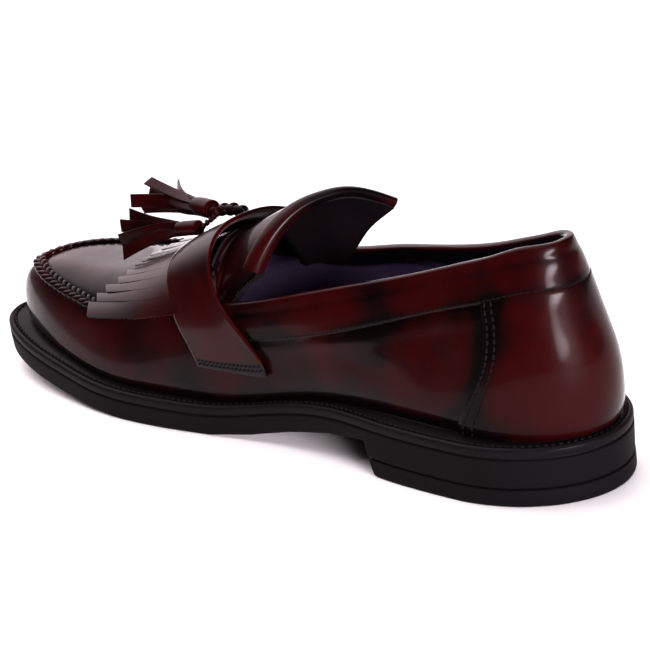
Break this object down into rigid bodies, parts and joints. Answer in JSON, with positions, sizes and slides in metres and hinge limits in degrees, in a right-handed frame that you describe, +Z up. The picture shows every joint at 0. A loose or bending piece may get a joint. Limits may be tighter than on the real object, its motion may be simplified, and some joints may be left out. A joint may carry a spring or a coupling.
{
  "type": "saddle loafer",
  "caption": "Slip-on leather saddle loafer for the right foot with a fringed kiltie, two tassels, a braided apron seam and a welted rubber sole with a low heel",
  "frame": {"origin": "bottom centre of the bounding box, on the floor", "axes": "toe along -X, heel along +X, inner side of the foot along -Y, up along +Z"},
  "size_m": [0.3, 0.1002, 0.09],
  "materials": {
    "sole_rubber": "semi-matt moulded",
    "welt": "semi-matt, stitched",
    "lining": "dull",
    "upper_leather": "high-shine brush-off",
    "trim_leather": "high-shine brush-off"
  },
  "bodies": {
    "root": {"sole": "sole_rubber", "heel_top_lift": "sole_rubber", "welt": "welt", "insole": "lining", "upper": "upper_leather", "collar_band": "upper_leather", "heel_counter": "upper_leather", "tongue": "upper_leather", "saddle_strap": "trim_leather", "kiltie": "trim_leather", "apron_braid": "trim_leather", "tassel_near": "trim_leather", "tassel_far": "trim_leather", "tassel_tie": "trim_leather"}
  },
  "joints": []
}
